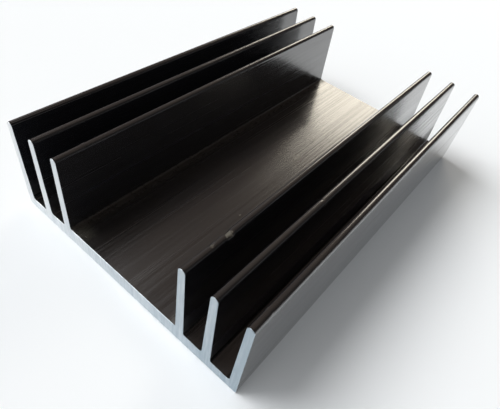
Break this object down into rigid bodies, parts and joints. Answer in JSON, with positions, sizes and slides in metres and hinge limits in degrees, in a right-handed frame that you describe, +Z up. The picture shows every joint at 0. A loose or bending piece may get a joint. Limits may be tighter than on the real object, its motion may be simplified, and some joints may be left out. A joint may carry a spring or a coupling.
{
  "type": "extruded heat sink",
  "caption": "Extruded aluminium heat sink with a flat base, tapered upright fins along both long edges and a wide plain channel between them for the device to be cooled.",
  "frame": {"origin": "middle of the underside: halfway along the extrusion and halfway between the outer fins", "axes": "+Y along the extrusion, +X across the fins, +Z up from the underside towards the fin tips"},
  "size_m": [0.0674, 0.101, 0.0239],
  "materials": {
    "anodised_aluminium": "black anodised, satin, with fine lines along the extrusion; the two sawn ends are bare metal"
  },
  "bodies": {
    "root": {"heat_sink": "anodised_aluminium"}
  },
  "joints": []
}
